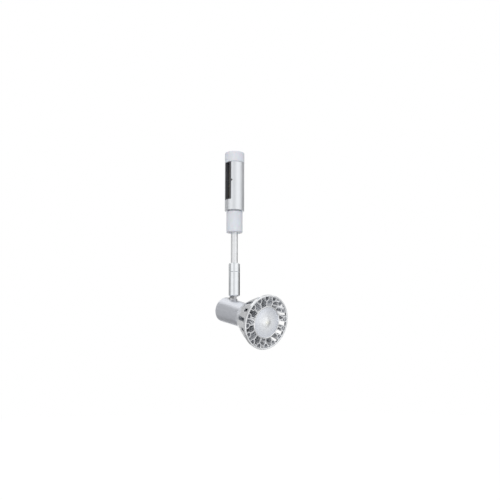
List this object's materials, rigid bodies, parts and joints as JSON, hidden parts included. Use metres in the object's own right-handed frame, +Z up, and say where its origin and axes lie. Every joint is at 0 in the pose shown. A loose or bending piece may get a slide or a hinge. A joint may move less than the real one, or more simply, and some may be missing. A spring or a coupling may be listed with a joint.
{
  "type": "track spotlight",
  "caption": "Track spotlight: a round adapter straddles a flat rail and carries a stem, a swivel and a tilt knuckle with a sleeve that holds a finned reflector lamp.",
  "frame": {"origin": "on the stem's axis, in the middle of the rail slot at the rail's mid height", "axes": "+X along the rail, -Y the way the lamp looks at rest, +Z up"},
  "size_m": [0.0494, 0.0689, 0.191],
  "materials": {
    "satin_aluminium": "satin",
    "bright_chrome": "polished",
    "pale_plastic": "matte",
    "dark_plastic": "matte",
    "white_plastic": "matte",
    "contact_brass": "satin",
    "turned_steel": "satin",
    "lead_insulation": "matte",
    "silver_paint": "painted",
    "cast_aluminium": "polished",
    "lens_plastic": "frosted",
    "board": "gloss",
    "phosphor": "gloss"
  },
  "bodies": {
    "adapter": {"adapter_body": "satin_aluminium", "slot_liner": "dark_plastic", "socket_insert": "white_plastic", "socket_sleeves": "contact_brass", "lower_contact": "contact_brass", "upper_contact": "contact_brass", "plug_body": "white_plastic", "plug_pins": "contact_brass", "stem_tube": "satin_aluminium", "stem_leads": "lead_insulation", "swivel_ring": "bright_chrome", "swivel_stud": "turned_steel", "swivel_nut": "turned_steel", "friction_washer": "dark_plastic"},
    "cap": {"adapter_cap": "pale_plastic"},
    "collar": {"lock_collar": "pale_plastic"},
    "barrel": {"swivel_barrel": "bright_chrome", "tilt_fork": "turned_steel", "tilt_pin": "turned_steel", "tilt_washers": "dark_plastic"},
    "head": {"tilt_tongue": "turned_steel", "sleeve_nut": "turned_steel", "lamp_sleeve": "silver_paint", "holder_bracket": "turned_steel", "lampholder": "white_plastic", "holder_contacts": "contact_brass", "holder_screws": "turned_steel", "head_leads": "lead_insulation"},
    "lamp": {"lamp_heat_sink": "cast_aluminium", "lens": "lens_plastic", "lens_ring": "cast_aluminium", "led_board": "board", "led_emitter": "phosphor", "driver_board": "board", "lamp_base": "white_plastic", "lamp_pins": "turned_steel"}
  },
  "joints": [
    {"name": "pan", "type": "hinge", "parent": "adapter", "child": "barrel", "pos_m": [0, 0, -0.0879], "axis": [0, 0, 1], "range_deg": [-175, 175]},
    {"name": "tilt", "type": "hinge", "parent": "barrel", "child": "head", "pos_m": [0, 0, -0.106], "axis": [1, 0, 0], "range_deg": [-20.4, 74.6]},
    {"name": "lamp_pull", "type": "slide", "parent": "head", "child": "lamp", "axis": [0, -0.9641, -0.2656], "range_m": [0, 0.012]},
    {"name": "cap_lift", "type": "slide", "parent": "adapter", "child": "cap", "axis": [0, 0, 1], "range_m": [0, 0.012]},
    {"name": "collar_turn", "type": "hinge", "parent": "adapter", "child": "collar", "pos_m": [0, 0, -0.04], "axis": [0, 0, 1], "range_deg": [0, 70]}
  ]
}
